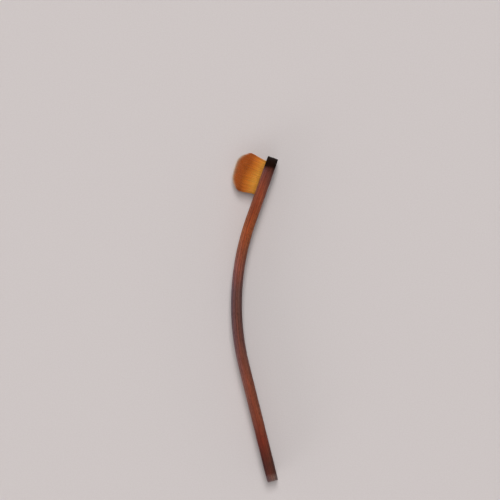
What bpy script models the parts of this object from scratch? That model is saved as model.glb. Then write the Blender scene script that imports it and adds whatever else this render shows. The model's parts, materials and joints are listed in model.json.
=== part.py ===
"""Face brush: a domed oval tuft seated in a bent five-ply wooden handle.

The brush lies on one long side edge, so its bend shows from above. World X and Y span that view: the
handle's head is at +Y, and the tuft stands out of the convex front face, towards -X. Z runs across the
handle's width. All sizes are in metres.
"""

import math
import random

import bmesh
import bpy
from mathutils import Matrix, Vector
from mathutils.geometry import delaunay_2d_cdt

# Handle, along its centre line from the head end to the foot end
HEAD_LEAN = math.radians(19.6)
NECK_LENGTH = 0.0113
BEND_RADIUS = 0.1267
BEND_ANGLE = math.radians(33.6)
FOOT_LENGTH = 0.0598

# Handle, across
PLY_THICKNESS = 0.0010
GLUE_LINE = 0.0001
RIM_WIDTH = 0.0015
EDGE_RADIUS = 0.0004
EDGE_LAND = 0.0001

# Tuft: the oval of its roots, then heights, the first one above the handle's front face
TUFT_WIDTH = 0.0108
TUFT_STRAIGHT = 0.0070
SHOULDER_HEIGHT = 0.0076
RIM_RISE = 0.0010
DOME_RISE = 0.0051
DOME_POWER = 2.1
SHOULDER_FLARE = 0.00085
RIM_DRAW = 0.0002
TIP_SCATTER = 0.0003
TIP_SEED = 11

# Strands
STRAND_RADIUS = 0.00029
STRAND_TIP_RADIUS = 0.00019
STRAND_GAP = 0.00008
RING_GAP = 0.00014

# Resin and cup
ROOT_MARGIN = 0.00015
SLICE_THICKNESS = 0.0006
PLUG_THICKNESS = 0.0010
CUP_WALL = 0.0004
CUP_CHAMFER = 0.00025
SEAT_GAP = 0.0003

# Mesh fineness
END_STEPS = 9
BEND_STEPS = 18
EDGE_STEPS = 4
OVAL_STEPS = 16
STRAND_SIDES = 4
SAME_POINT = 1e-9

PLY_COLOURS = {
    "back_ply": (0.16, 0.045, 0.025),
    "back_core_ply": (0.19, 0.052, 0.028),
    "middle_ply": (0.22, 0.060, 0.030),
    "front_core_ply": (0.20, 0.055, 0.029),
    "front_ply": (0.18, 0.048, 0.030),
}
POCKET_PLIES = ("middle_ply", "front_core_ply", "front_ply")

# Sizes that follow from the ones above
HALF_STRAIGHT = TUFT_STRAIGHT / 2
SLICE_RADIUS = TUFT_WIDTH / 2 + ROOT_MARGIN
CUP_RADIUS = SLICE_RADIUS + SEAT_GAP + CUP_WALL
POCKET_RADIUS = CUP_RADIUS + SEAT_GAP
HALF_WIDTH = POCKET_RADIUS + RIM_WIDTH
PLY_PITCH = PLY_THICKNESS + GLUE_LINE
HALF_THICKNESS = (len(PLY_COLOURS) * PLY_PITCH - GLUE_LINE) / 2
POCKET_DEPTH = len(POCKET_PLIES) * PLY_PITCH
SEAT_POSITION = HALF_WIDTH + HALF_STRAIGHT
HEAD_LENGTH = SEAT_POSITION + HALF_STRAIGHT + POCKET_RADIUS + NECK_LENGTH
BEND_LENGTH = BEND_RADIUS * BEND_ANGLE
HANDLE_LENGTH = HEAD_LENGTH + BEND_LENGTH + FOOT_LENGTH
CUP_BOTTOM = SEAT_GAP - POCKET_DEPTH
PLUG_BOTTOM = CUP_BOTTOM + CUP_WALL + SEAT_GAP
SLICE_BOTTOM = PLUG_BOTTOM + PLUG_THICKNESS + SEAT_GAP
SLICE_TOP = SLICE_BOTTOM + SLICE_THICKNESS
RIM_HEIGHT = SHOULDER_HEIGHT + RIM_RISE
STRAND_SPACING = 2 * STRAND_RADIUS + STRAND_GAP
RING_SPACING = 2 * STRAND_RADIUS + RING_GAP


def material(name, rgb, roughness, metallic=0.0):
    """Principled material of one colour."""
    finish = bpy.data.materials.new(name)
    finish.use_nodes = True
    shader = finish.node_tree.nodes["Principled BSDF"]
    shader.inputs["Base Color"].default_value = (*rgb, 1.0)
    shader.inputs["Roughness"].default_value = roughness
    shader.inputs["Metallic"].default_value = metallic
    return finish


def mesh_object(name, bm, parent, finish, sharp_angle=math.radians(35)):
    """Turn bm into a smooth-shaded object under parent, with edges over sharp_angle kept crisp."""
    bmesh.ops.recalc_face_normals(bm, faces=bm.faces)
    mesh = bpy.data.meshes.new(name)
    bm.to_mesh(mesh)
    bm.free()
    mesh.shade_smooth()
    mesh.set_sharp_from_angle(angle=sharp_angle)
    mesh.materials.append(finish)
    obj = bpy.data.objects.new(name, mesh)
    obj.parent = parent
    bpy.context.scene.collection.objects.link(obj)
    return obj


def weight_normals(obj):
    """Let the large flat faces of obj keep their shading beside small rounded ones."""
    weighted = obj.modifiers.new("flat_faces", "WEIGHTED_NORMAL")
    weighted.keep_sharp = True


def empty(name, parent=None):
    """Plain axes that carry other objects."""
    obj = bpy.data.objects.new(name, None)
    obj.empty_display_size = 0.01
    obj.parent = parent
    bpy.context.scene.collection.objects.link(obj)
    return obj


def bridge(bm, lower, upper):
    """Join two closed rings of equally many vertices with quads."""
    count = len(lower)
    for i in range(count):
        j = (i + 1) % count
        bm.faces.new((lower[i], lower[j], upper[j], upper[i]))


# Handle


def direction(heading):
    """Unit vector along the centre line, towards the foot."""
    return Vector((math.sin(heading), -math.cos(heading), 0.0))


def outward(heading):
    """Unit vector square to the centre line, out of the front face."""
    return Vector((-math.cos(heading), -math.sin(heading), 0.0))


def centre_line(s):
    """Point and heading at distance s from the head end: straight, then an arc, then straight."""
    head = direction(-HEAD_LEAN) * min(s, HEAD_LENGTH)
    turned = min(max(s - HEAD_LENGTH, 0.0), BEND_LENGTH)
    heading = turned / BEND_RADIUS - HEAD_LEAN
    arc = (outward(heading) - outward(-HEAD_LEAN)) * BEND_RADIUS
    foot = direction(heading) * max(s - HEAD_LENGTH - BEND_LENGTH, 0.0)
    return head + arc + foot, heading


def on_handle(s, height, side):
    """Point at s along the handle, height out of its centre line and side from its mid-width."""
    point, heading = centre_line(s)
    return point + outward(heading) * height + Vector((0.0, 0.0, HALF_WIDTH + side))


def half_outline(inset):
    """The strip's outline, drawn in by inset, as (s, half width): a straight run with round ends."""
    radius = HALF_WIDTH - inset
    step = math.pi / 2 / (END_STEPS + 0.5)
    turns = [step * (i + 0.5) for i in range(END_STEPS + 1)]
    head = [(HALF_WIDTH - radius * math.cos(t), radius * math.sin(t)) for t in turns]
    bend = [(HEAD_LENGTH + BEND_LENGTH * i / BEND_STEPS, radius) for i in range(BEND_STEPS + 1)]
    foot = [(HANDLE_LENGTH - s, half) for s, half in reversed(head)]
    return head + bend + foot


def ply_mesh(levels):
    """Bent strip of wood lofted through levels of (height, inset), lowest first."""
    bm = bmesh.new()
    rings = []
    for height, inset in levels:
        half = half_outline(inset)
        near = [bm.verts.new(on_handle(s, height, -width)) for s, width in half]
        far = [bm.verts.new(on_handle(s, height, width)) for s, width in half]
        rings.append(near + far[::-1])
    for lower, upper in zip(rings, rings[1:]):
        bridge(bm, lower, upper)
    for ring in (rings[0], rings[-1]):
        last = len(ring) - 1
        for i in range(last // 2):
            bm.faces.new((ring[i], ring[i + 1], ring[last - i - 1], ring[last - i]))
    return bm


def edge_rounding():
    """(drop, inset) pairs round an outer edge, from the ply's side up to its face."""
    radius = min(EDGE_RADIUS, PLY_THICKNESS - EDGE_LAND)
    turns = [math.pi / 2 * i / EDGE_STEPS for i in range(EDGE_STEPS + 1)]
    return [(radius * (1 - math.sin(t)), radius * (1 - math.cos(t))) for t in turns]


def ply_levels(index):
    """Levels of the ply of this index, back to front: the outer two have their outer edges rounded."""
    bottom = index * PLY_PITCH - HALF_THICKNESS
    top = bottom + PLY_THICKNESS
    lower = [(bottom, 0.0)]
    upper = [(top, 0.0)]
    if index == 0:
        lower = [(bottom + drop, inset) for drop, inset in reversed(edge_rounding())]
    if index == len(PLY_COLOURS) - 1:
        upper = [(top - drop, inset) for drop, inset in edge_rounding()]
    return lower + upper


def build_plies(root, pocket):
    """The five bent veneers, back to front, with the pocket cut through the front three."""
    for index, (name, rgb) in enumerate(PLY_COLOURS.items()):
        wood = material("lacquered_" + name, rgb, 0.35)
        ply = mesh_object(name, ply_mesh(ply_levels(index)), root, wood)
        if name in POCKET_PLIES:
            cut = ply.modifiers.new("pocket", "BOOLEAN")
            cut.operation = "DIFFERENCE"
            cut.solver = "EXACT"
            cut.object = pocket
        weight_normals(ply)


# Oval pieces, about the seat: X runs along the handle, Y across it and Z out of it, from its front face


def oval_outline(radius):
    """Corner points of an oval: two half circles joined by straight sides."""
    points = []
    for centre, start in ((HALF_STRAIGHT, -math.pi / 2), (-HALF_STRAIGHT, math.pi / 2)):
        for i in range(OVAL_STEPS + 1):
            angle = start + math.pi * i / OVAL_STEPS
            points.append((centre + radius * math.cos(angle), radius * math.sin(angle)))
    return points


def oval_mesh(profile):
    """Closed solid lofted through ovals of (end radius, z), with both ends capped."""
    bm = bmesh.new()
    rings = [[bm.verts.new((x, y, z)) for x, y in oval_outline(radius)] for radius, z in profile]
    for lower, upper in zip(rings, rings[1:]):
        bridge(bm, lower, upper)
    bm.faces.new(rings[0])
    bm.faces.new(rings[-1])
    return bm


def build_pocket(seat):
    """Cutter for the pocket: an oval slot that stops in the glue line under the middle ply."""
    bm = oval_mesh([(POCKET_RADIUS, GLUE_LINE / 2 - POCKET_DEPTH), (POCKET_RADIUS, POCKET_DEPTH)])
    cutter = mesh_object("pocket_cutter", bm, seat, material("cutter", (0.8, 0.1, 0.1), 0.5))
    cutter.hide_render = True
    cutter.display_type = "WIRE"
    return cutter


def build_cup(seat):
    """Thin drawn cup on the pocket's floor, open at the front face."""
    inside = CUP_RADIUS - CUP_WALL
    profile = [
        (CUP_RADIUS - CUP_CHAMFER, CUP_BOTTOM),
        (CUP_RADIUS, CUP_BOTTOM + CUP_CHAMFER),
        (CUP_RADIUS, 0.0),
        (inside, 0.0),
        (inside, CUP_BOTTOM + CUP_WALL),
    ]
    aluminium = material("drawn_aluminium", (0.78, 0.78, 0.79), 0.3, 1.0)
    weight_normals(mesh_object("ferrule_cup", oval_mesh(profile), seat, aluminium))


def build_plug(seat):
    """Cast resin that fills the bottom of the cup, under the slice that grips the strands."""
    profile = [(SLICE_RADIUS, PLUG_BOTTOM), (SLICE_RADIUS, PLUG_BOTTOM + PLUG_THICKNESS)]
    resin = material("cast_resin", (0.45, 0.27, 0.10), 0.25)
    weight_normals(mesh_object("resin_plug", oval_mesh(profile), seat, resin))


# Tuft


def oval_length(radius):
    """Distance round an oval of the given end radius."""
    return 2 * TUFT_STRAIGHT + 2 * math.pi * radius


def oval_point(radius, travel):
    """Point and outward angle at this travel round an oval, from the start of its +Y straight side."""
    half_lap = oval_length(radius) / 2
    flip = travel >= half_lap
    travel -= half_lap if flip else 0.0
    angle = math.pi / 2 + max(travel - TUFT_STRAIGHT, 0.0) / radius
    x = HALF_STRAIGHT - min(travel, TUFT_STRAIGHT) + radius * math.cos(angle)
    y = radius * math.sin(angle)
    return (-x, -y, angle + math.pi) if flip else (x, y, angle)


def strand_roots():
    """(x, y, outward angle, 0 to 1 from the middle row to the rim) of each strand, ring round ring."""
    outermost = TUFT_WIDTH / 2 - STRAND_RADIUS
    gaps = max(int(TUFT_STRAIGHT / STRAND_SPACING), 1)
    roots = [(TUFT_STRAIGHT * i / gaps - HALF_STRAIGHT, 0.0, 0.0, 0.0) for i in range(gaps + 1)]
    rings = int(outermost / RING_SPACING)
    for ring in range(1, rings + 1):
        share = ring / rings
        length = oval_length(outermost * share)
        count = int(length / STRAND_SPACING)
        for i in range(count):
            roots.append((*oval_point(outermost * share, length * (i + 0.5) / count), share))
    return roots


def spread(z):
    """Factor on the roots' positions at height z: out to the shoulder, then drawn in to the dome."""
    out = SHOULDER_FLARE * (min(z, SHOULDER_HEIGHT) - SLICE_TOP) / (SHOULDER_HEIGHT - SLICE_TOP)
    back = RIM_DRAW * max(z - SHOULDER_HEIGHT, 0.0) / RIM_RISE
    return 1.0 + (out - back) / (HALF_STRAIGHT + TUFT_WIDTH / 2)


def tip_height(share, scatter):
    """Height of a strand's tip under the trimmed dome, scatter from 0 to 1 below it."""
    rise = (1.0 - share**DOME_POWER) ** (1.0 / DOME_POWER)
    return RIM_HEIGHT + DOME_RISE * rise - TIP_SCATTER * scatter


def strand_ring(root, z, radius):
    """Corners of a strand's cross-section at height z."""
    x, y, facing, _ = root
    centre = Vector((x, y, 0.0)) * spread(z) + Vector((0.0, 0.0, z))
    corners = [facing + 2 * math.pi * (i + 0.5) / STRAND_SIDES for i in range(STRAND_SIDES)]
    return [centre + Vector((math.cos(a), math.sin(a), 0.0)) * radius for a in corners]


def tuft_mesh(roots):
    """Slice of resin with every strand standing out of its upper face, as one closed body.

    The slice's upper face is triangulated round the strands' feet, which stay open and are drawn out.
    """
    border = oval_outline(SLICE_RADIUS)
    feet = [strand_ring(root, SLICE_TOP, STRAND_RADIUS) for root in roots]
    points = [Vector(p) for p in border] + [corner.xy for foot in feet for corner in foot]
    loops = [list(range(len(border)))]
    for i in range(len(feet)):
        first = len(border) + STRAND_SIDES * i
        loops.append(list(range(first, first + STRAND_SIDES)))
    inside_only = 1
    flat, _, triangles, sources, _, owners = delaunay_2d_cdt(points, [], loops, inside_only, SAME_POINT)
    where = {source: new for new, listed in enumerate(sources) for source in listed}

    bm = bmesh.new()
    top = [bm.verts.new((p.x, p.y, SLICE_TOP)) for p in flat]
    for triangle, owner in zip(triangles, owners):
        if max(owner) == 0:
            bm.faces.new([top[i] for i in triangle])
    rim = [top[where[i]] for i in loops[0]]
    base = [bm.verts.new((v.co.x, v.co.y, SLICE_BOTTOM)) for v in rim]
    bridge(bm, base, rim)
    bm.faces.new(base)

    chance = random.Random(TIP_SEED)
    for root, loop in zip(roots, loops[1:]):
        tip = tip_height(root[3], chance.random())
        ring = [top[where[i]] for i in loop]
        for z, radius in ((SHOULDER_HEIGHT, STRAND_RADIUS), (tip, STRAND_TIP_RADIUS)):
            upper = [bm.verts.new(corner) for corner in strand_ring(root, z, radius)]
            bridge(bm, ring, upper)
            ring = upper
        bm.faces.new(ring)
    return bm


def build_tuft(seat):
    """The bristles and the slice of resin that grips them."""
    roots = strand_roots()
    ochre = material("bristle_ochre", (0.42, 0.17, 0.035), 0.6)
    mesh_object("bristle_tuft", tuft_mesh(roots), seat, ochre, sharp_angle=math.radians(130))
    print(f"strands in the tuft: {len(roots)}")


# Assembly


def build_seat(root):
    """Axes at the middle of the pocket's mouth, on the handle's front face."""
    seat = empty("tuft_seat", root)
    _, heading = centre_line(SEAT_POSITION)
    along, out = direction(heading), outward(heading)
    axes = Matrix((along, out.cross(along), out)).transposed()
    seat.matrix_local = Matrix.Translation(on_handle(SEAT_POSITION, HALF_THICKNESS, 0.0)) @ axes.to_4x4()
    return seat


def stand_on_floor(root):
    """Move the brush so that the middle of its box's underside is the world's origin."""
    bpy.context.view_layer.update()
    solids = [obj for obj in bpy.data.objects if obj.type == "MESH" and not obj.hide_render]
    corners = [obj.matrix_world @ v.co for obj in solids for v in obj.data.vertices]
    low = Vector([min(c[axis] for c in corners) for axis in range(3)])
    high = Vector([max(c[axis] for c in corners) for axis in range(3)])
    root.location = -Vector(((low.x + high.x) / 2, (low.y + high.y) / 2, low.z))


def main():
    for obj in list(bpy.data.objects):
        bpy.data.objects.remove(obj, do_unlink=True)
    root = empty("brush")
    seat = build_seat(root)
    build_plies(root, build_pocket(seat))
    build_cup(seat)
    build_plug(seat)
    build_tuft(seat)
    stand_on_floor(root)


main()
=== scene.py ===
"""Looks of a face brush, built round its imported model.

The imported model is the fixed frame. The brush lies on one long side edge: the head of its bent wooden
handle is at +Y, and the tuft stands out of the convex front face, towards -X. Lengths are metres, apart
from names that end in _mm. Colours are sRGB hex values, as the eye reads them.
"""

import json
import logging
import math
from collections.abc import Sequence
from dataclasses import dataclass
from enum import Enum
from typing import Any

import bmesh
import bpy
import numpy as np
from bmesh.types import BMesh
from bpy.types import ID, Material, Mesh, Node, NodeSocket, NodeTree, Object
from mathutils import Matrix, Vector


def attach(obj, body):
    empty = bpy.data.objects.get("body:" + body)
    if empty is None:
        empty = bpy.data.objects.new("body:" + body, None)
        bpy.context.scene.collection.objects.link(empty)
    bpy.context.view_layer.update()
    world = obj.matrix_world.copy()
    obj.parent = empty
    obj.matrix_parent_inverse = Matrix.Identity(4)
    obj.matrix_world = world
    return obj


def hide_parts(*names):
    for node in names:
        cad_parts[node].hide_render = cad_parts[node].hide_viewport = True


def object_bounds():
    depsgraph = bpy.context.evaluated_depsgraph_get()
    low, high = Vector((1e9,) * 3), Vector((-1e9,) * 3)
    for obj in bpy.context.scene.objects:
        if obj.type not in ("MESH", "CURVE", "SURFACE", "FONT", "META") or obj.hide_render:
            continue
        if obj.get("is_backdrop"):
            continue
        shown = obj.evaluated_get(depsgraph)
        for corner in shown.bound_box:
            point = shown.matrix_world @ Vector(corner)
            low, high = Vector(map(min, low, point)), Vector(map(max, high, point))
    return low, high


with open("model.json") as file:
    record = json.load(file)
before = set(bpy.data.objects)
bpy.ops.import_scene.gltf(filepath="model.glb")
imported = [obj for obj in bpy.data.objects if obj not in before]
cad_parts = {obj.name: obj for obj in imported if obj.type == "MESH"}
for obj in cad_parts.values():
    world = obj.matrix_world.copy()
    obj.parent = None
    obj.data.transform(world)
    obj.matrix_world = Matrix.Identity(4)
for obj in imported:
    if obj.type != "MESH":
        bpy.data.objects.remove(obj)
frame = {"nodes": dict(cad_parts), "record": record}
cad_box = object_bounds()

BODY = "root"
MM = 0.001

# How many steps round each half circle of an oval
OVAL_STEPS = 32

# Edges that turn by more than this stay crisp
CRISP_ANGLE = math.radians(35)

# How far the edge of the handle's dip blurs to each side
DIP_BLUR_MM = 0.3

# Inputs and output of a Mix node that mixes colours
MIX_FACTOR, MIX_A, MIX_B, MIX_RESULT = 0, 6, 7, 2

Rgba = tuple[float, float, float, float]
Stop = tuple[float, Rgba]
Profile = Sequence[tuple[float, float]]

log = logging.getLogger("face_brush")


def mount(name: str) -> dict[str, Any]:
    """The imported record's mount of this name."""
    return next(m for m in frame["record"]["mounts"] if m["name"] == name)


# Colours and nodes


def linear(hex_colour: str) -> Rgba:
    """Turn an sRGB hex colour into a linear one.

    Args:
        hex_colour: six hex digits after a hash.

    Returns:
        Linear red, green and blue, with an alpha of 1.
    """
    parts = [int(hex_colour[i : i + 2], 16) / 255 for i in (1, 3, 5)]
    red, green, blue = (p / 12.92 if p <= 0.04045 else ((p + 0.055) / 1.055) ** 2.4 for p in parts)
    return red, green, blue, 1.0


def greys(*stops: tuple[float, float]) -> list[Stop]:
    """Ramp stops from pairs of position and neutral linear value."""
    return [(at, (value, value, value, 1.0)) for at, value in stops]


def tones(*stops: tuple[float, str]) -> list[Stop]:
    """Ramp stops from pairs of position and sRGB hex colour."""
    return [(at, linear(colour)) for at, colour in stops]


def set_inputs(node: Node, inputs: dict[str | int, Any]) -> None:
    """Give a node's inputs their values and links.

    Args:
        node: a node of a material or a world.
        inputs: by the input's name or index, a socket to link or a value to set.
    """
    for key, given in inputs.items():
        if isinstance(given, NodeSocket):
            node.id_data.links.new(given, node.inputs[key])
        else:
            node.inputs[key].default_value = given


def add_node(
    tree: NodeTree,
    kind: str,
    settings: dict[str, Any] | None = None,
    inputs: dict[str | int, Any] | None = None,
    stops: Sequence[Stop] = (),
) -> Node:
    """Add one shader node, with its settings and links.

    Args:
        tree: node tree of a material or a world.
        kind: the node's type, without the prefix ShaderNode.
        settings: the node's own properties, by name.
        inputs: by the input's name or index, a socket to link or a value to set.
        stops: positions and colours, where the node is a colour ramp.

    Returns:
        The new node.
    """
    node = tree.nodes.new("ShaderNode" + kind)
    for name, value in (settings or {}).items():
        setattr(node, name, value)
    set_inputs(node, inputs or {})
    for index, (position, colour) in enumerate(stops):
        elements = node.color_ramp.elements
        element = elements[index] if index < 2 else elements.new(position)
        element.position = position
        element.color = colour
    return node


def new_material(name: str) -> tuple[Material, Node]:
    """Start a material.

    Args:
        name: the material's name.

    Returns:
        The material and its Principled shader.
    """
    material = bpy.data.materials.new(name)
    material.use_nodes = True
    return material, material.node_tree.nodes["Principled BSDF"]


def pattern(
    tree: NodeTree,
    place: NodeSocket,
    size_mm: Sequence[float],
    offset: float,
    detail: float,
    stops: Sequence[Stop],
) -> NodeSocket:
    """Work out an uneven, natural pattern of real size.

    Args:
        tree: the material's node tree.
        place: coordinates in metres.
        size_mm: size of one patch of the pattern along each of the three coordinates.
        offset: shift in patches, which sets this pattern apart from the others.
        detail: how many finer layers the pattern has.
        stops: positions and colours of the ramp that it is read through.

    Returns:
        The pattern's colour.
    """
    scale = tuple(1.0 / (MM * size) for size in size_mm)
    shifted = {"Vector": place, "Location": (offset,) * 3, "Scale": scale}
    placed = add_node(tree, "Mapping", inputs=shifted).outputs[0]
    uneven = add_node(tree, "TexNoise", inputs={"Vector": placed, "Scale": 1.0, "Detail": detail})
    return add_node(tree, "ValToRGB", inputs={0: uneven.outputs[0]}, stops=stops).outputs[0]


def layered(tree: NodeTree, colour: NodeSocket, *layers: NodeSocket | Rgba) -> NodeSocket:
    """Lay tinted layers over a colour, each of which takes its share of the light.

    Args:
        tree: the material's node tree.
        colour: the colour at the bottom.
        layers: the layers' tints, as sockets or colours.

    Returns:
        The colour that shows.
    """
    settings = {"data_type": "RGBA", "blend_type": "MULTIPLY"}
    for layer in layers:
        inputs = {MIX_FACTOR: 1.0, MIX_A: colour, MIX_B: layer}
        colour = add_node(tree, "Mix", settings, inputs).outputs[MIX_RESULT]
    return colour


def dip_edge(tree: NodeTree, along: NodeSocket, edge_mm: float, dipped: float, bare: float) -> NodeSocket:
    """Work out a value that changes where the dip on the handle's head ends.

    Args:
        tree: the material's node tree.
        along: distance from the head end, in metres.
        edge_mm: where the dip ends.
        dipped: the value on the dip.
        bare: the value past it.

    Returns:
        The value's socket.
    """
    stops = greys(((edge_mm - DIP_BLUR_MM) * MM, dipped), ((edge_mm + DIP_BLUR_MM) * MM, bare))
    return add_node(tree, "ValToRGB", inputs={0: along}, stops=stops).outputs[0]


# Finishes


class GrainFace(Enum):
    """Which way the knife opened the veneer, with the width of its figure in millimetres."""

    ROTARY = 2.6
    SLICED = 0.9


@dataclass(frozen=True)
class LacqueredBeech:
    """Beech veneer: peeled or sliced, bent in a hot press, stained, and sprayed with satin lacquer.

    It gives the eye fine lengthwise streaks and short dark pores under a soft gloss, red-brown where the
    staining is thin, near black on the dipped head, and dull brown again at the foot. Each ply's tint is
    partly
    its own tone and partly painted light: paler, greyer tints paint a sheen on the front plies, and the
    back ply's darker tint and longer dip fade paint shade. The foot's last millimetres are paler, a painted
    reflection.
    """

    name: str
    length: float
    face: GrainFace
    # The tint is partly the veneer's own tone and partly painted light: a sheen on the front plies, shade
    # on the back ply
    tint: str
    dip_mm: float
    dip_fade_mm: float
    foot_tint: str
    offset: float
    # Past the dip the staining clears in two quick steps, at these shares of the fade, and then slowly
    first_step: float = 0.12
    second_step: float = 0.30
    # The foot's tint, darkest on the front plies, sets in over this stretch
    foot_mm: tuple[float, float] = (133.0, 151.0)
    # One patch of each pattern, along the grain and in both directions across it
    figure_length_mm: float = 38.0
    streak_mm: tuple[float, float, float] = (11.0, 0.32, 0.32)
    rubbed_mm: tuple[float, float, float] = (9.0, 2.0, 2.0)
    # Beech pores are about 0.06 mm wide, and are drawn at twice that so that they show
    pore_mm: tuple[float, float, float] = (1.9, 0.13, 0.13)

    def stain_and_reflection_stops(self) -> list[Stop]:
        """List the colours of the staining along the handle, with a painted reflection on the foot's
        rounded end.

        Returns:
            Ramp stops, as shares of the handle's length.
        """
        zones_mm = [
            (self.dip_mm, "#1d0d05"),
            (self.dip_mm + self.first_step * self.dip_fade_mm, "#603938"),
            (self.dip_mm + self.second_step * self.dip_fade_mm, "#724644"),
            (self.dip_mm + self.dip_fade_mm, "#955240"),
            (30.0, "#8f4e38"),
            (40.0, "#9d593c"),
            (50.0, "#8b5547"),
            (59.0, "#885755"),
            (70.0, "#674d51"),
            (94.0, "#6f4d4f"),
            (118.0, "#875248"),
            (134.0, "#874f43"),
            (146.0, "#7b3c35"),
            (158.0, "#593937"),
            (162.6, "#694140"),
            # The paler last stop paints a reflection on the foot's rounded end
            (164.2, "#866b6f"),
        ]
        return tones(*((at * MM / self.length, colour) for at, colour in zones_mm))

    def material(self) -> Material:
        """Make the material.

        Returns:
            The material, which reads the mesh's strip coordinates.
        """
        material, shader = new_material(self.name)
        tree = material.node_tree
        strip = add_node(tree, "Attribute", {"attribute_name": "strip"}).outputs["Vector"]
        along = add_node(tree, "SeparateXYZ", inputs={0: strip}).outputs[0]
        share = add_node(tree, "Math", {"operation": "DIVIDE"}, {0: along, 1: self.length}).outputs[0]
        stain_and_painted_light = add_node(tree, "ValToRGB", inputs={0: share}, stops=self.stain_and_reflection_stops()).outputs[0]
        foot_start, foot_full = (at * MM / self.length for at in self.foot_mm)
        foot_stops = tones((foot_start, "#ffffff"), (foot_full, self.foot_tint))
        foot = add_node(tree, "ValToRGB", inputs={0: share}, stops=foot_stops).outputs[0]

        shift = self.offset
        figure_mm = (self.figure_length_mm, self.face.value, self.face.value)
        figure = pattern(tree, strip, figure_mm, shift, 3.0, greys((0.34, 0.78), (0.66, 1.18)))
        streaks = pattern(tree, strip, self.streak_mm, shift + 7.0, 2.0, greys((0.3, 0.8), (0.7, 1.16)))
        pores = pattern(tree, strip, self.pore_mm, shift + 19.0, 0.0, greys((0.33, 0.55), (0.42, 1.0)))
        rubbed = pattern(tree, strip, self.rubbed_mm, shift + 31.0, 2.0, greys((0.35, 0.36), (0.65, 0.5)))
        matt = dip_edge(tree, along, self.dip_mm, 0.8, 0.0)
        bump = {"Height": pores, "Strength": 0.25, "Distance": 0.02 * MM}
        looks = {
            # The tint layer holds the ply's own tone together with its share of painted light
            "Base Color": layered(tree, stain_and_painted_light, linear(self.tint), foot, figure, streaks, pores),
            "Roughness": add_node(tree, "Math", {"operation": "MAXIMUM"}, {0: rubbed, 1: matt}).outputs[0],
            "Normal": add_node(tree, "Bump", inputs=bump).outputs[0],
            "IOR": 1.5,
            "Specular IOR Level": 0.1,
            "Coat Weight": 0.05,
            "Coat Roughness": 0.22,
            "Coat IOR": 1.5,
        }
        set_inputs(shader, looks)
        return material


@dataclass(frozen=True)
class GlueFilm:
    """Urea resin glue, cured in the press between two veneers, then dipped and lacquered with them.

    It gives the eye a hair-thin line, a shade darker than the wood beside it.
    """

    name: str = "glue_film"
    dip_mm: float = 4.7
    pale: str = "#5a2e22"
    dark: str = "#3a1c15"

    def material(self) -> Material:
        """Make the material.

        Returns:
            The material, which reads the mesh's strip coordinates.
        """
        material, shader = new_material(self.name)
        tree = material.node_tree
        strip = add_node(tree, "Attribute", {"attribute_name": "strip"}).outputs["Vector"]
        along = add_node(tree, "SeparateXYZ", inputs={0: strip}).outputs[0]
        cured = pattern(tree, strip, (6.0, 1.0, 1.0), 3.0, 2.0, tones((0.35, self.dark), (0.65, self.pale)))
        dip = dip_edge(tree, along, self.dip_mm, 0.1, 1.0)
        looks = {
            "Base Color": layered(tree, cured, dip),
            "Roughness": dip_edge(tree, along, self.dip_mm, 0.8, 0.4),
            "IOR": 1.5,
            "Specular IOR Level": 0.1,
        }
        set_inputs(shader, looks)
        return material


@dataclass(frozen=True)
class DrawnAluminium:
    """Aluminium sheet, drawn into a cup and left bright.

    It gives the eye a soft silver line with faint marks along the draw.
    """

    name: str = "drawn_aluminium"
    bright: str = "#d6d7d9"
    dull: str = "#b4b5b8"

    def material(self) -> Material:
        """Make the material.

        Returns:
            The material, with its draw marks running along the tuft's axis.
        """
        material, shader = new_material(self.name)
        tree = material.node_tree
        place = add_node(tree, "Attribute", {"attribute_name": "seat_place"}).outputs["Vector"]
        marks = tones((0.3, self.dull), (0.7, self.bright))
        looks = {
            "Base Color": pattern(tree, place, (0.25, 0.25, 4.0), 0.0, 2.0, marks),
            "Roughness": pattern(tree, place, (0.3, 0.3, 3.0), 5.0, 1.0, greys((0.3, 0.24), (0.7, 0.38))),
            "Metallic": 1.0,
        }
        set_inputs(shader, looks)
        return material


@dataclass(frozen=True)
class CastEpoxy:
    """Epoxy resin, poured round the bristles' roots and in the seat, and cured clear amber.

    It gives the eye a wet, dark honey edge where it shows at all.
    """

    name: str = "cast_epoxy"
    deep: str = "#7a4d22"
    clear: str = "#a8763c"

    def material(self) -> Material:
        """Make the material.

        Returns:
            The material, a little cloudy where the resin soaked into the roots.
        """
        material, shader = new_material(self.name)
        tree = material.node_tree
        place = add_node(tree, "NewGeometry").outputs["Position"]
        looks = {
            "Base Color": pattern(
                tree, place, (1.2, 1.2, 1.2), 0.0, 3.0, tones((0.3, self.deep), (0.7, self.clear))
            ),
            "Roughness": 0.15,
            "IOR": 1.55,
            "Transmission Weight": 0.25,
        }
        set_inputs(shader, looks)
        return material


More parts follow.
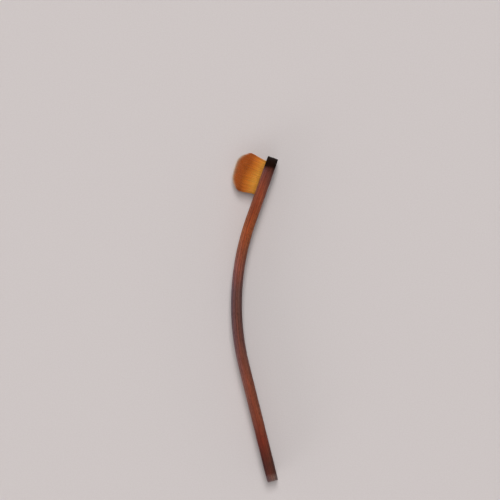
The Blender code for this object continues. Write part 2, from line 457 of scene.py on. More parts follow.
@dataclass(frozen=True)
class DyedFilament:
    """Polyester filament: spun, tapered in a caustic bath, and dyed rust over a golden base.

    It gives the eye a silky, fine-lined bundle, golden at the handle, rust brown above its middle, and
    paler again at the tips, where each filament is thin enough to let light through: that paleness is
    partly the thin tips' own colour and partly painted light, and the pale colour of the strays round the
    dome is a painted glow. The upper dome's brighter colour and the golden reaching highest on the foot
    side are partly painted light too.
    """

    name: str = "dyed_filament"
    golden: str = "#f8b048"
    orange: str = "#ea8c32"
    rust: str = "#cc6b2a"
    # The upper colour is partly the filaments' colour and partly painted light, lifting the dome's upper
    # part out of its shade
    upper: str = "#e67a30"
    # The tip colour, and the stray colour over the outline, paint light shining through the thin tips
    tip: str = "#ffdfb6"
    stray: str = "#ffe2bc"

    def material(self) -> Material:
        """Make the material.

        Returns:
            The material, which reads the mesh's places, the levels of its dyed zones and painted light, and
            filaments' own shades.
        """
        material, shader = new_material(self.name)
        tree = material.node_tree
        place, level, own = (
            add_node(tree, "Attribute", {"attribute_name": name}).outputs["Vector"]
            for name in ("seat_place", "level", "filament")
        )
        near_rim, over_edge, height = add_node(tree, "SeparateXYZ", inputs={0: level}).outputs
        shade, stray, _ = add_node(tree, "SeparateXYZ", inputs={0: own}).outputs

        uneven = pattern(tree, place, (0.8, 0.8, 40.0), 0.0, 2.0, greys((0.3, 0.0), (0.7, 0.08)))
        # The height over the edge is partly the dyeing and partly painted light on the foot-side flank
        dyed = add_node(tree, "Math", {"operation": "ADD"}, {0: over_edge, 1: uneven}).outputs[0]
        dye_stops = tones((0.20, self.golden), (0.45, self.orange), (0.63, self.rust))
        colour = add_node(tree, "ValToRGB", inputs={0: dyed}, stops=dye_stops).outputs[0]

        # How much of each further colour shows, by what it depends on
        upper, thin, outer, own_shade = (
            add_node(tree, "ValToRGB", inputs={0: value}, stops=stops).outputs[0]
            for value, stops in (
                (height, greys((0.59, 0.0), (0.80, 1.0))),
                (near_rim, greys((0.62, 0.0), (0.74, 0.15), (0.86, 0.6), (0.96, 1.0))),
                (near_rim, greys((0.85, 0.0), (0.98, 1.0))),
                (shade, greys((0.0, 0.78), (1.0, 1.15))),
            )
        )
        # The thin and loose shares paint light shining through the tips near the domed outline
        loose = add_node(tree, "Math", {"operation": "MULTIPLY"}, {0: outer, 1: stray}).outputs[0]
        for share, further in ((upper, self.upper), (thin, self.tip), (loose, self.stray)):
            inputs = {MIX_FACTOR: share, MIX_A: colour, MIX_B: linear(further)}
            colour = add_node(tree, "Mix", {"data_type": "RGBA"}, inputs).outputs[MIX_RESULT]

        looks = {
            "Base Color": layered(tree, colour, own_shade),
            "Roughness": 0.42,
            "IOR": 1.55,
            "Specular IOR Level": 0.25,
            "Sheen Weight": 0.12,
            "Sheen Roughness": 0.4,
            "Sheen Tint": linear("#f2c48a"),
        }
        set_inputs(shader, looks)
        return material


@dataclass(frozen=True)
class MattBoard:
    """Pale grey board, uncoated, for the studio's floor.

    It gives the eye an even, matt ground that takes soft shadows.
    """

    name: str = "matt_board"
    pale: str = "#ccc6c5"
    deep: str = "#cac3c2"

    def material(self) -> Material:
        """Make the material.

        Returns:
            The material, with paper fibre's faint mottle.
        """
        material, shader = new_material(self.name)
        tree = material.node_tree
        place = add_node(tree, "NewGeometry").outputs["Position"]
        mottle = tones((0.4, self.deep), (0.6, self.pale))
        looks = {
            "Base Color": pattern(tree, place, (0.7, 0.7, 0.7), 0.0, 4.0, mottle),
            "Roughness": 0.85,
            "IOR": 1.5,
        }
        set_inputs(shader, looks)
        return material


# Meshes


def as_mesh(name: str, bm: BMesh) -> Mesh:
    """Turn a shape into a mesh.

    Args:
        name: the mesh's name.
        bm: the shape, which is freed.

    Returns:
        The mesh.
    """
    mesh = bpy.data.meshes.new(name)
    bm.to_mesh(mesh)
    bm.free()
    return mesh


def put(name: str, data: ID) -> Object:
    """Put a new object in the scene.

    Args:
        name: the object's name.
        data: its mesh, light or camera.

    Returns:
        The object.
    """
    new = bpy.data.objects.new(name, data)
    bpy.context.scene.collection.objects.link(new)
    return new


def add_piece(name: str, mesh: Mesh, material: Material, replaces: Sequence[str] = ()) -> None:
    """Show a mesh as a piece of the brush, which rides on the brush's one body.

    Args:
        name: the piece's name.
        mesh: its mesh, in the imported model's frame.
        material: its material.
        replaces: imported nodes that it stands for.
    """
    mesh.materials.clear()
    mesh.materials.append(material)
    piece = put(name, mesh)
    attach(piece, BODY)
    if replaces:
        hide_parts(*replaces)
    log.info("%s: %d faces", name, len(mesh.polygons))


def keep_vectors(mesh: Mesh, name: str, vectors: np.ndarray) -> None:
    """Keep one vector for each vertex of a mesh.

    Args:
        mesh: the mesh.
        name: what the materials call the vectors.
        vectors: one row for each vertex.
    """
    kept = mesh.attributes.new(name, "FLOAT_VECTOR", "POINT")
    kept.data.foreach_set("vector", vectors.astype(np.float32).ravel())


def vertex_places(mesh: Mesh) -> np.ndarray:
    """Read where a mesh's vertices are.

    Args:
        mesh: the mesh.

    Returns:
        One row for each vertex.
    """
    places = np.zeros(len(mesh.vertices) * 3, np.float32)
    mesh.vertices.foreach_get("co", places)
    return places.reshape(-1, 3).astype(float)


def finished_mesh(name: str, bm: BMesh, cutter: Object | None = None) -> Mesh:
    """Turn bm into a smooth mesh with crisp edges, after an optional cut.

    Args:
        name: the mesh's name.
        bm: the shape, which is freed.
        cutter: what to cut out of it.

    Returns:
        The finished mesh, of no object yet.
    """
    bmesh.ops.recalc_face_normals(bm, faces=bm.faces)
    mesh = as_mesh(name, bm)
    maker = put(name + "_maker", mesh)
    mesh.shade_smooth()
    mesh.set_sharp_from_angle(angle=CRISP_ANGLE)
    if cutter:
        cut = maker.modifiers.new("cut", "BOOLEAN")
        cut.operation = "DIFFERENCE"
        cut.solver = "EXACT"
        cut.object = cutter
    weighted = maker.modifiers.new("flat_faces", "WEIGHTED_NORMAL")
    weighted.keep_sharp = True
    graph = bpy.context.evaluated_depsgraph_get()
    finished = bpy.data.meshes.new_from_object(maker.evaluated_get(graph), depsgraph=graph)
    finished.name = name
    bpy.data.objects.remove(maker)
    return finished


def bridge(bm: BMesh, lower: Sequence[Any], upper: Sequence[Any]) -> None:
    """Join two closed rings of equally many vertices with quads.

    Args:
        bm: the shape.
        lower: the first ring's vertices, in order.
        upper: the second ring's.
    """
    for i, vert in enumerate(lower):
        j = (i + 1) % len(lower)
        bm.faces.new((vert, lower[j], upper[j], upper[i]))


# Handle


@dataclass
class BentHandle:
    """The handle: five veneers bent and glued together, with a blind oval pocket in the head."""

    ply_thickness: float = 0.001
    glue_line: float = 0.0001
    half_width: float = 0.00805
    edge_radius: float = 0.0004
    seat_position: float = 0.01155
    head_length: float = 0.0329
    bend_radius: float = 0.1267
    foot_length: float = 0.0598
    pocket_half_straight: float = 0.0035
    pocket_radius: float = 0.00655
    ply_nodes: tuple[str, ...] = ("back_ply", "back_core_ply", "middle_ply", "front_core_ply", "front_ply")
    # How many patches the patterns of two neighbouring plies lie apart
    pattern_shift: float = 40.0
    pocket_plies: int = 3
    end_steps: int = 22
    bend_steps: int = 60
    edge_steps: int = 7

    def __post_init__(self) -> None:
        """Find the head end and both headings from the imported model's flat faces."""
        head, foot = mount("head_back_flat"), mount("foot_back_flat")
        self.head_heading, foot_heading = (math.atan2(m["axis"][1], m["axis"][0]) for m in (head, foot))
        self.bend_angle = foot_heading - self.head_heading
        self.pitch = self.ply_thickness + self.glue_line
        self.half_thickness = (len(self.ply_nodes) * self.pitch - self.glue_line) / 2
        self.bend_length = self.bend_radius * self.bend_angle
        self.length = self.head_length + self.bend_length + self.foot_length
        behind_seat = Vector(head["pos_m"])
        self.start = (
            behind_seat
            + self.outward(self.head_heading) * self.half_thickness
            - self.direction(self.head_heading) * self.seat_position
        )

    @staticmethod
    def direction(heading: float) -> Vector:
        """Unit vector along the centre line, towards the foot."""
        return Vector((math.sin(heading), -math.cos(heading), 0.0))

    @staticmethod
    def outward(heading: float) -> Vector:
        """Unit vector square to the centre line, out of the front face."""
        return Vector((-math.cos(heading), -math.sin(heading), 0.0))

    def centre_line(self, s: float) -> tuple[Vector, float]:
        """Follow the centre line: straight, then an arc, then straight.

        Args:
            s: distance from the head end.

        Returns:
            The point there and the heading.
        """
        turned = min(max(s - self.head_length, 0.0), self.bend_length)
        heading = self.head_heading + turned / self.bend_radius
        point = self.start + self.direction(self.head_heading) * min(s, self.head_length)
        point += (self.outward(heading) - self.outward(self.head_heading)) * self.bend_radius
        point += self.direction(heading) * max(s - self.head_length - self.bend_length, 0.0)
        return point, heading

    def place(self, s: float, height: float, side: float) -> Vector:
        """Point at s along the handle, height out of its centre line and side from its mid-width."""
        point, heading = self.centre_line(s)
        return point + self.outward(heading) * height + Vector((0.0, 0.0, side))

    def strip_coordinates(self, places: np.ndarray) -> np.ndarray:
        """Find where points lie on the handle, as if it were unrolled flat.

        Args:
            places: points on or in the handle, one row each.

        Returns:
            Rows of distance from the head end, height out of the centre line and side from mid-width.
        """
        bend_start, _ = self.centre_line(self.head_length)
        centre = np.array(bend_start - self.outward(self.head_heading) * self.bend_radius)
        out = places[:, :2] - centre[:2]
        turned = np.arctan2(-out[:, 1], -out[:, 0]) - self.head_heading

        strip = np.zeros_like(places)
        strip[:, 0] = self.head_length + turned * self.bend_radius
        strip[:, 1] = np.hypot(out[:, 0], out[:, 1]) - self.bend_radius
        strip[:, 2] = places[:, 2] - self.start.z
        foot_start = self.head_length + self.bend_length
        for begin, here in ((0.0, turned < 0), (foot_start, turned > self.bend_angle)):
            origin, heading = self.centre_line(begin)
            away = places[here] - np.array(origin)
            strip[here, 0] = begin + away @ np.array(self.direction(heading))
            strip[here, 1] = away @ np.array(self.outward(heading))
        return strip

    def half_outline(self, inset: float) -> Profile:
        """List half of the strip's outline, with round ends.

        Args:
            inset: how far it is drawn in.

        Returns:
            Pairs of distance along the handle and half width, from the head to the foot.
        """
        radius = self.half_width - inset
        step = math.pi / 2 / (self.end_steps + 0.5)
        turns = [step * (i + 0.5) for i in range(self.end_steps + 1)]
        head = [(self.half_width - radius * math.cos(t), radius * math.sin(t)) for t in turns]
        bend = [
            (self.head_length + self.bend_length * i / self.bend_steps, radius)
            for i in range(self.bend_steps + 1)
        ]
        foot = [(self.length - s, half) for s, half in reversed(head)]
        return head + bend + foot

    def strip_mesh(self, levels: Profile) -> BMesh:
        """Loft a bent strip.

        Args:
            levels: pairs of height and inset, lowest first.

        Returns:
            The closed shape.
        """
        bm = bmesh.new()
        rings = []
        for height, inset in levels:
            half = self.half_outline(inset)
            near = [bm.verts.new(self.place(s, height, -width)) for s, width in half]
            far = [bm.verts.new(self.place(s, height, width)) for s, width in half]
            rings.append(near + far[::-1])
        for lower, upper in zip(rings, rings[1:]):
            bridge(bm, lower, upper)
        for ring in (rings[0], rings[-1]):
            last = len(ring) - 1
            for i in range(last // 2):
                bm.faces.new((ring[i], ring[i + 1], ring[last - i - 1], ring[last - i]))
        return bm

    def ply_levels(self, index: int) -> Profile:
        """List the levels of one ply, with the outer edges of the outer two rounded.

        Args:
            index: the ply's place from the back.

        Returns:
            Pairs of height and inset, lowest first.
        """
        bottom = index * self.pitch - self.half_thickness
        top = bottom + self.ply_thickness
        turns = [math.pi / 2 * i / self.edge_steps for i in range(self.edge_steps + 1)]
        rounding = [
            (self.edge_radius * (1 - math.sin(t)), self.edge_radius * (1 - math.cos(t))) for t in turns
        ]
        lower, upper = [(bottom, 0.0)], [(top, 0.0)]
        if index == 0:
            lower = [(bottom + drop, inset) for drop, inset in reversed(rounding)]
        if index == len(self.ply_nodes) - 1:
            upper = [(top - drop, inset) for drop, inset in rounding]
        return lower + upper

    def seat(self) -> Matrix:
        """Set up axes at the pocket's mouth.

        Returns:
            The axes: X towards the foot, Y across the handle, and Z out of its front face.
        """
        along, out = self.direction(self.head_heading), self.outward(self.head_heading)
        axes = Matrix((along, out.cross(along), out)).transposed().to_4x4()
        return Matrix.Translation(self.place(self.seat_position, self.half_thickness, 0.0)) @ axes

    def pocket(self, depth: float) -> Object:
        """Make the cutter for the pocket.

        Args:
            depth: how deep the pocket is cut.

        Returns:
            The cutter, to be removed after use.
        """
        walls = [(self.pocket_radius, -depth), (self.pocket_radius, depth)]
        bm = oval_loft(self.pocket_half_straight, walls)
        bmesh.ops.recalc_face_normals(bm, faces=bm.faces)
        bm.transform(self.seat())
        return put("pocket_cutter", as_mesh("pocket_cutter", bm))

    def layer(self, name: str, levels: Profile, cutter: Object | None) -> Mesh:
        """Make one bent layer of the handle, with the places on it kept for its material.

        Args:
            name: the mesh's name.
            levels: pairs of height and inset, lowest first.
            cutter: the pocket's cutter, where the pocket goes through the layer.

        Returns:
            The finished mesh.
        """
        mesh = finished_mesh(name, self.strip_mesh(levels), cutter)
        keep_vectors(mesh, "strip", self.strip_coordinates(vertex_places(mesh)))
        return mesh

    def build(self) -> None:
        """Make the plies and the glue films between them."""
        cutter = self.pocket(self.pocket_plies * self.pitch - self.glue_line / 2)
        bpy.context.view_layer.update()
        # Veneer, tint, end and fade of the dip in millimetres, and tint of the foot. The tints and fades
        # are partly each veneer's own tone and partly painted light: paler, greyer tints paint a sheen on
        # the front plies, and the back ply's darker tint and longer fade paint shade.
        stains_and_painted_light = (
            (GrainFace.ROTARY, "#d0cebe", 4.5, 21.5, "#f4ffff"),
            (GrainFace.SLICED, "#f1debf", 4.6, 17.4, "#f8ffff"),
            (GrainFace.SLICED, "#fad9b9", 4.7, 14.2, "#f7f7f7"),
            (GrainFace.SLICED, "#f5e5d6", 5.1, 9.8, "#e7d9d2"),
            (GrainFace.ROTARY, "#f2ffff", 5.5, 7.3, "#d0b9b4"),
        )
        glue = GlueFilm().material()
        last = len(self.ply_nodes) - 1
        for index, (node, stain_and_painted_light) in enumerate(zip(self.ply_nodes, stains_and_painted_light)):
            shift = self.pattern_shift * index
            finish = LacqueredBeech("lacquered_beech_" + node, self.length, *stain_and_painted_light, shift)
            pierced = cutter if index > last - self.pocket_plies else None
            ply = self.layer(node + "_wood", self.ply_levels(index), pierced)
            add_piece("lacquered_" + node, ply, finish.material(), [node])
            if index < last:
                top = (index + 1) * self.pitch - self.half_thickness
                film = self.layer(f"glue_{index}", [(top - self.glue_line, 0.0), (top, 0.0)], pierced)
                add_piece(f"glue_film_{index + 1}", film, glue)
        bpy.data.objects.remove(cutter)


# Ferrule and resin


def oval_outline(half_straight: float, radius: float) -> Profile:
    """List the corner points of an oval made of two half circles and two straight sides.

    Args:
        half_straight: half the length of a straight side, along X.
        radius: radius of the half circles.

    Returns:
        Points in order, counter-clockwise.
    """
    points = []
    for centre, start in ((half_straight, -math.pi / 2), (-half_straight, math.pi / 2)):
        for i in range(OVAL_STEPS + 1):
            angle = start + math.pi * i / OVAL_STEPS
            points.append((centre + radius * math.cos(angle), radius * math.sin(angle)))
    return points


def oval_loft(half_straight: float, profile: Profile, closed: bool = False) -> BMesh:
    """Loft ovals one over the other.

    Args:
        half_straight: half the length of the ovals' straight sides.
        profile: pairs of end radius and height.
        closed: whether the last oval joins the first, as in a ring, or both get a cap.

    Returns:
        The closed shape, about the seat's axes.
    """
    bm = bmesh.new()
    rings = [
        [bm.verts.new((x, y, z)) for x, y in oval_outline(half_straight, radius)]
        for radius, z in profile
    ]
    for lower, upper in zip(rings, rings[1:]):
        bridge(bm, lower, upper)
    if closed:
        bridge(bm, rings[-1], rings[0])
    else:
        bm.faces.new(rings[0])
        bm.faces.new(rings[-1])
    return bm


@dataclass
class Ferrule:
    """The drawn cup in the pocket, with the resin round it and round the bristles' roots."""

    seat: Matrix
    half_straight: float
    pocket_depth: float
    slice_radius: float = 0.00555
    gap: float = 0.0003
    cup_wall: float = 0.0004
    lip_radius: float = 0.00012
    # How far a lip's rounding stays inside the square corner
    lip_ease: float = 0.000036
    plug_thickness: float = 0.001
    slice_thickness: float = 0.0006
    # How far below the handle's face the bead starts, meets the pocket's wall, and sags between
    bead_depth: float = 0.0008
    bead_edge: float = 0.000156
    bead_sag: float = 0.000216
    # The resin creeps up the cup's wall by the rise, is still a knee high one rise away from it, and is
    # level from the reach on
    meniscus_rise: float = 0.0001
    meniscus_knee: float = 0.00002
    meniscus_reach: float = 0.0004

    def __post_init__(self) -> None:
        """Stack the pieces up from the pocket's floor, with the adhesive's gap between them."""
        self.cup_bottom = self.gap - self.pocket_depth
        self.slice_bottom = self.cup_bottom + self.cup_wall + self.plug_thickness + 2 * self.gap
        self.slice_top = self.slice_bottom + self.slice_thickness

    def oval_piece(
        self,
        name: str,
        profile: Profile,
        material: Material,
        replaces: Sequence[str] = (),
        closed: bool = False,
    ) -> None:
        """Make one lofted oval piece on the seat.

        Args:
            name: the piece's name.
            profile: pairs of end radius and height.
            material: its material.
            replaces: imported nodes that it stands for.
            closed: whether the profile is a closed section of a ring.
        """
        mesh = finished_mesh(name, oval_loft(self.half_straight, profile, closed))
        keep_vectors(mesh, "seat_place", vertex_places(mesh))
        mesh.transform(self.seat)
        add_piece(name, mesh, material, replaces)

    def build(self) -> None:
        """Make the cup, the adhesive round it and the resin that grips the bristles."""
        inside = self.slice_radius + self.gap
        outside = inside + self.cup_wall
        lip, ease = self.lip_radius, self.lip_ease
        cup = [
            (outside - 2 * lip, self.cup_bottom),
            (outside - 2 * ease, self.cup_bottom + 2 * ease),
            (outside, self.cup_bottom + 2 * lip),
            (outside, -lip),
            (outside - ease, -ease),
            (outside - lip, 0.0),
            (inside + lip, 0.0),
            (inside + ease, -ease),
            (inside, -lip),
            (inside, self.cup_bottom + self.cup_wall),
        ]
        self.oval_piece("drawn_cup", cup, DrawnAluminium().material(), ["ferrule_cup"])
        epoxy = CastEpoxy().material()
        bead = [
            (outside, -self.bead_depth),
            (outside + self.gap, -self.bead_depth),
            (outside + self.gap, -self.bead_edge),
            (outside + self.gap / 2, -self.bead_sag),
            (outside, -lip),
        ]
        self.oval_piece("seat_bead", bead, epoxy, closed=True)
        grip = [
            (self.slice_radius, self.slice_bottom),
            (inside, self.slice_bottom),
            (inside, self.slice_top + self.meniscus_rise),
            (inside - self.meniscus_rise, self.slice_top + self.meniscus_knee),
            (inside - self.meniscus_reach, self.slice_top),
        ]
        self.oval_piece("root_resin", grip, epoxy, ["bristle_tuft"])
        plug = frame["nodes"]["resin_plug"]
        plug.data.materials.clear()
        plug.data.materials.append(epoxy)


# Tuft


@dataclass
class Tuft:
    """Thousands of tapered filaments that flare to a shoulder and end on a trimmed dome."""

    seat: Matrix
    half_straight: float
    slice_top: float
    root_radius: float = 0.0054
    shoulder_height: float = 0.0076
    rim_rise: float = 0.0012
    dome_rise: float = 0.0053
    dome_power: float = 2.1
    # The dome is highest here, towards the head end, and falls this much over the oval's half length
    crown_place: float = -0.0025
    crown_fall: float = 0.0008
    flare: float = 0.00132
    flare_power: float = 1.5
    draw: float = 0.00032
    shoulder_round: float = 0.00024
    # Real filaments are about 0.08 mm thick, and are drawn 0.136 mm thick so that they show
    filament_radius: float = 0.000068
    spacing: float = 0.00015
    root_shake: float = 0.3
    root_sink: float = 0.0002
    # The tips end up to this far below the dome, and the power keeps most of them close to it
    length_scatter: float = 0.0009
    scatter_power: float = 2.5
    # The filaments wander off by this, more and more towards their tips, and bow by a share of it
    wander: float = 0.00013
    wander_power: int = 2
    bow_share: float = 0.25
    # They draw together in locks of this size, most of all at their tips
    lock_size: float = 0.0011
    lock_shake: float = 0.4
    lock_pull: float = 0.28
    lock_power: int = 3
    stray_portion: float = 0.12
    stray_reach: float = 0.0011
    stray_lean: float = 3.0
    stray_slimness: float = 0.6
    # The edge between golden and rust is highest at its crest, towards the foot, and falls away on both
    # sides: partly the dyeing and partly painted light on the tuft's foot-side flank
    dye_and_light_crest: float = 0.003
    dye_and_light_fall: float = 0.23
    dye_and_light_sink: float = 0.04
    # The pale outline, painted light shining through the tips, sets in over this height above the shoulder
    rim_start: float = 0.004
    rim_power: float = 0.3
    # Where a filament's rings and its tip are on its way up, and how thick it is at each ring
    levels: tuple[float, ...] = (0.0, 0.28, 0.52, 0.72, 0.88, 1.0)
    taper: tuple[float, ...] = (1.0, 1.0, 0.95, 0.8, 0.5)
    sides: int = 3
    # A filament's cell of the map is this many times as high as wide, with a margin on each side
    cell_aspect: int = 5
    cell_margin: float = 0.1
    bundles: int = 4
    seed: int = 11

    def __post_init__(self) -> None:
        """Draw lots for the roots, in order along the handle, and for the filaments that stray."""
        self.reach = self.half_straight + self.root_radius
        self.chance = np.random.default_rng(self.seed)
        roots = self.shaken_grid()
        self.roots = roots[np.argsort(roots[:, 0], kind="stable")]
        self.stray = (self.chance.random(len(self.roots)) < self.stray_portion).astype(float)

    def shaken_grid(self) -> np.ndarray:
        """Spread points over the oval, on a shaken triangular grid.

        Returns:
            Rows of X and Y.
        """
        across = np.arange(-self.root_radius, self.root_radius, self.spacing * math.sqrt(3) / 2)
        x, y = np.meshgrid(np.arange(-self.reach, self.reach, self.spacing), across)
        x[1::2] += self.spacing / 2
        points = np.stack([x.ravel(), y.ravel()], 1)
        points += self.chance.uniform(-self.root_shake, self.root_shake, points.shape) * self.spacing
        return points[self.share(points) < 1 - self.filament_radius / self.root_radius]

    def share(self, points: np.ndarray) -> np.ndarray:
        """How far points lie from the oval's middle line, from 0 to 1 at the rim."""
        past_straight = np.maximum(np.abs(points[:, 0]) - self.half_straight, 0.0)
        return np.hypot(past_straight, points[:, 1]) / self.root_radius

    def spread(self, z: np.ndarray) -> np.ndarray:
        """Find how far the tuft spreads: out to a rounded shoulder, then drawn in.

        Args:
            z: heights above the handle's front face.

        Returns:
            A factor on the roots' places for each height.
        """
        rise = np.maximum(z - self.slice_top, 0.0) / (self.shoulder_height - self.slice_top)
        flared = self.flare * rise**self.flare_power
        drawn = self.flare - self.draw * (z - self.shoulder_height) / self.rim_rise
        rounded = np.hypot((flared - drawn) / 2, self.shoulder_round)
        return 1.0 + ((flared + drawn) / 2 - rounded) / self.reach

    def drop(self) -> np.ndarray:
        """How far the dome has fallen over each root, from its crown towards its ends."""
        return self.crown_fall * ((self.roots[:, 0] - self.crown_place) / self.reach) ** 2

    def tips(self) -> np.ndarray:
        """Find how high the tips end: close below the trimmed dome, or above it where they stray.

        Returns:
            One height for each filament.
        """
        rise = (1.0 - self.share(self.roots) ** self.dome_power) ** (1.0 / self.dome_power)
        dome = self.shoulder_height + self.rim_rise + self.dome_rise * rise - self.drop()
        below = self.length_scatter * self.chance.random(len(self.roots)) ** self.scatter_power
        return dome - below + self.stray_reach * self.stray * self.chance.random(len(self.roots))

    def paths(self) -> np.ndarray:
        """Lead each filament from its root to its tip.

        Returns:
            Points by filament and level, about the seat's axes.
        """
        roots, levels = self.roots, np.array(self.levels)
        foot = self.slice_top - self.root_sink
        z = foot + (self.tips() - foot)[:, None] * levels
        flat = roots[:, None] * self.spread(z)[:, :, None]

        grid = np.arange(-self.reach, self.reach + self.lock_size, self.lock_size)
        locks = np.stack(np.meshgrid(grid, grid), -1).reshape(-1, 2)
        locks += self.chance.uniform(-self.lock_shake, self.lock_shake, locks.shape) * self.lock_size
        nearest = locks[np.argmin(((roots[:, None] - locks) ** 2).sum(2), 1)]
        pull = (nearest - roots) * self.lock_pull
        loose = self.wander * (1 + (self.stray_lean - 1) * self.stray[:, None])
        lean = loose * self.chance.normal(0.0, 1.0, roots.shape)
        bow = self.chance.normal(0.0, self.wander * self.bow_share, roots.shape)
        flat += pull[:, None] * levels[:, None] ** self.lock_power
        flat += lean[:, None] * levels[:, None] ** self.wander_power
        flat += bow[:, None] * np.sin(math.pi * levels)[:, None]
        return np.concatenate([flat, z[:, :, None]], 2)

    def dye_and_light_levels(self, paths: np.ndarray) -> np.ndarray:
        """Find how far up the dyed zones and their painted light each point of a filament lies.

        Args:
            paths: points by filament and level.

        Returns:
            By filament and level: nearness to the domed outline, which sets the painted light through the
                tips,
            height over the dyed edge, which is partly painted light, and height, all as shares.
        """
        z = paths[:, :, 2]
        top = self.shoulder_height + self.rim_rise + self.dome_rise
        along = np.maximum(np.abs(self.roots[:, 0]) - self.half_straight, 0.0) / self.root_radius
        over_rim = z + self.drop()[:, None] - self.shoulder_height - self.rim_rise
        up = np.maximum(over_rim, 0.0) / self.dome_rise
        near = (along[:, None] ** self.dome_power + up**self.dome_power) ** (1 / self.dome_power)
        near *= np.clip((z - self.shoulder_height) / self.rim_start, 0.0, 1.0) ** self.rim_power
        edge = z + self.dye_and_light_fall * np.abs(paths[:, :, 0] - self.dye_and_light_crest)
        return np.stack([near, edge / top - self.dye_and_light_sink, z / top], 2)

    def filament_faces(self) -> tuple[list[list[int]], list[tuple[float, float]]]:
        """List one filament's faces: quads up its sides, a point at its tip and a cap at its root.

        Returns:
            Each face's vertices, and side and ring of each face corner, for the map.
        """
        rings = len(self.taper)
        faces, corners = [], []
        for ring in range(rings):
            for side in range(self.sides):
                low, high = ring * self.sides, (ring + 1) * self.sides
                after = (side + 1) % self.sides
                if ring < rings - 1:
                    faces.append([low + side, low + after, high + after, high + side])
                    corners += [(side, ring), (side + 1, ring), (side + 1, ring + 1), (side, ring + 1)]
                else:
                    faces.append([low + side, low + after, high])
                    corners += [(side, ring), (side + 1, ring), (side + 0.5, ring + 1)]
        faces.append(list(range(self.sides))[::-1])
        # The cap is hidden in the resin, so it takes no room on the map
        corners += [(side + 0.2, 0.0) for side in range(self.sides)]
        return faces, corners

    def bundle_mesh(
        self, name: str, paths: np.ndarray, dye_and_light: np.ndarray, shades: np.ndarray, stray: np.ndarray
    ) -> Mesh:
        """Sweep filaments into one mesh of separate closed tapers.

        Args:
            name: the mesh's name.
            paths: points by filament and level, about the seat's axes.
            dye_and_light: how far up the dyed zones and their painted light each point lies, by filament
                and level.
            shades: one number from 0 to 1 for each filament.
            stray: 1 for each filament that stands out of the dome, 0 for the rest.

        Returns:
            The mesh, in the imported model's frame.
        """
        count, rings = len(paths), len(self.taper)
        slimness = 1 + (self.stray_slimness - 1) * stray
        radius = self.filament_radius * slimness[:, None] * np.array(self.taper)
        angles = np.linspace(0, 2 * math.pi, self.sides, endpoint=False)
        turn = 2 * math.pi * shades[:, None] + angles
        corner = np.stack([np.cos(turn), np.sin(turn), np.zeros_like(turn)], 2)
        tubes = paths[:, :rings, None] + corner[:, None] * radius[:, :, None, None]
        verts = np.concatenate([tubes.reshape(count, -1, 3), paths[:, -1:]], 1).reshape(-1, 3)

        faces, corners = self.filament_faces()
        size = rings * self.sides + 1
        every = [[first + v for v in face] for first in range(0, count * size, size) for face in faces]
        mesh = bpy.data.meshes.new(name)
        mesh.from_pydata(verts.tolist(), [], every)
        mesh.shade_smooth()

        keep_vectors(mesh, "seat_place", verts)
        own = np.stack([shades, stray, np.zeros(count)], 1)
        keep_vectors(mesh, "filament", np.repeat(own, size, 0))
        dyed = np.concatenate([np.repeat(dye_and_light[:, :rings], self.sides, 1), dye_and_light[:, rings:]], 1)
        keep_vectors(mesh, "level", dyed.reshape(-1, 3))
        self.lay_out(mesh, count, np.array(corners, float))
        mesh.transform(self.seat)
        return mesh

    def lay_out(self, mesh: Mesh, count: int, corners: np.ndarray) -> None:
        """Give each filament its own cell of the mesh's map, so that each keeps its own colours.

        Args:
            mesh: the bundle's mesh.
            count: how many filaments it has.
            corners: side and ring of each face corner of one filament.
        """
        columns = math.ceil(math.sqrt(count * self.cell_aspect))
        rows = math.ceil(count / columns)
        index = np.arange(count)
        cell = np.stack([index % columns, index // columns], 1)[:, None]
        inner = self.cell_margin + (1 - 2 * self.cell_margin) * corners / (self.sides, len(self.taper))
        places = (cell + inner) / (columns, rows)
        layer = mesh.uv_layers.new(name="OFBake")
        layer.uv.foreach_set("vector", places.astype(np.float32).ravel())

    def build(self) -> None:
        """Make the filaments, in bundles that lie side by side along the handle."""
        paths, stray = self.paths(), self.stray
        dye_and_light = self.dye_and_light_levels(paths)
        shades = self.chance.random(len(paths))
        material = DyedFilament().material()
        for number, members in enumerate(np.array_split(np.arange(len(paths)), self.bundles), 1):
            name = f"bristles_{number}"
            mesh = self.bundle_mesh(name, paths[members], dye_and_light[members], shades[members], stray[members])
            add_piece(name, mesh, material, ["bristle_tuft"])
        log.info("filaments: %d", len(paths))


# Studio


@dataclass(frozen=True)
class SoftLight:
    """A softbox that points at the brush. A filter takes out the glare of a polarised one."""

    name: str
    place: tuple[float, float, float]
    size: tuple[float, float]
    watts: float
    polarised: bool = True

    def hang(self) -> None:
        """Hang the light in the scene."""
        light = bpy.data.lights.new(self.name, "AREA")
        light.shape = "RECTANGLE"
        light.size, light.size_y = self.size
        light.energy = self.watts
        lamp = put(self.name, light)
        lamp.location = self.place
        lamp.rotation_mode = "QUATERNION"
        lamp.rotation_quaternion = (-Vector(self.place)).to_track_quat("-Z", "Y")
        lamp.visible_camera = False
        lamp.visible_glossy = not self.polarised


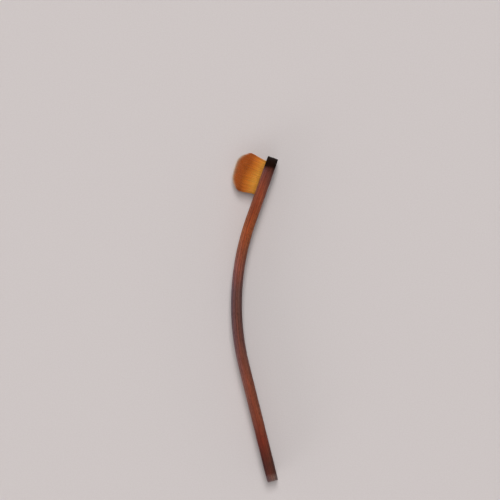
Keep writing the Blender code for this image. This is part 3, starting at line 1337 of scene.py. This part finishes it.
@dataclass
class Studio:
    """A pale floor under one long soft light and three weak ones, with pale walls all round."""

    floor_half: float = 4.0
    lights: tuple[SoftLight, ...] = (
        SoftLight("main_light", (0.05, 1.75, 6.0), (1.3, 3.9), 301.0),
        SoftLight("fill_light", (0.0, 0.0, 2.5), (5.0, 5.0), 11.0),
        SoftLight("counter_light", (0.3, -2.6, 3.4), (3.0, 2.0), 16.0),
        SoftLight("side_light", (-1.6, -1.6, 0.9), (1.2, 1.2), 8.0, polarised=False),
    )
    wall: str = "#c6bcba"
    wall_top: float = 0.35
    ceiling: str = "#302e2e"
    ceiling_edge: float = 0.6

    def build_floor(self) -> None:
        """Lay the floor that the brush lies on."""
        half = self.floor_half
        bm = bmesh.new()
        corners = ((-half, -half), (half, -half), (half, half), (-half, half))
        bm.faces.new([bm.verts.new((x, y, 0.0)) for x, y in corners])
        mesh = as_mesh("floor", bm)
        mesh.materials.append(MattBoard().material())
        put("floor", mesh)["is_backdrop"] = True

    def build_surround(self) -> None:
        """Surround the brush with pale walls, which darken up to a ceiling that gives no glare."""
        world = bpy.data.worlds.new("surround")
        bpy.context.scene.world = world
        world.use_nodes = True
        tree = world.node_tree
        towards = add_node(tree, "TexCoord").outputs["Generated"]
        height = add_node(tree, "SeparateXYZ", inputs={0: towards}).outputs[2]
        stops = tones((self.wall_top, self.wall), (self.ceiling_edge, self.ceiling))
        tone = add_node(tree, "ValToRGB", inputs={0: height}, stops=stops).outputs[0]
        set_inputs(tree.nodes["Background"], {"Color": tone})

    def build(self) -> None:
        """Make the floor, the lights and the surround."""
        self.build_floor()
        for light in self.lights:
            light.hang()
        self.build_surround()
        log.info("studio: floor, %d lights and surround", len(self.lights))


@dataclass
class OverheadCamera:
    """A long lens that looks straight down on the brush, with the head end up."""

    lens_mm: float = 200.0
    sensor_mm: float = 36.0
    frame_width: float = 0.25
    # The lens shows what lies this many times nearer or further than the brush
    depth_factor: float = 10.0
    # From the flat of the head's back to the middle of the frame, between the handle's upper side and the
    # tuft's middle
    aim_from_head: tuple[float, float, float] = (-0.01028, -0.03449, 0.00395)

    def build(self) -> None:
        """Make the camera and let the scene use it."""
        lens = bpy.data.cameras.new("overhead")
        lens.lens = self.lens_mm
        lens.sensor_width = self.sensor_mm
        distance = self.frame_width * self.lens_mm / self.sensor_mm
        lens.clip_start = distance / self.depth_factor
        lens.clip_end = distance * self.depth_factor
        camera = put("overhead", lens)
        head = Vector(mount("head_back_flat")["pos_m"])
        camera.location = head + Vector(self.aim_from_head) + Vector((0.0, 0.0, distance))
        bpy.context.scene.camera = camera
        log.info("camera: %.2f m above the brush", distance)


def write_sizes() -> None:
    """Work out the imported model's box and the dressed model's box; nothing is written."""
    boxes = {"cad": cad_box, "visual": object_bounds()}
    boxes = {name: [list(corner) for corner in box] for name, box in boxes.items()}


def main() -> None:
    """Build the scene: camera, studio, handle, ferrule and tuft."""
    logging.basicConfig(level=logging.INFO, format="%(name)s: %(message)s")
    bpy.context.scene.view_settings.view_transform = "Standard"
    OverheadCamera().build()
    Studio().build()
    handle = BentHandle()
    handle.build()
    oval = handle.pocket_half_straight
    ferrule = Ferrule(handle.seat(), oval, handle.pocket_plies * handle.pitch)
    ferrule.build()
    Tuft(handle.seat(), oval, ferrule.slice_top).build()
    bpy.context.view_layer.update()
    write_sizes()


if __name__ == "__main__":
    main()
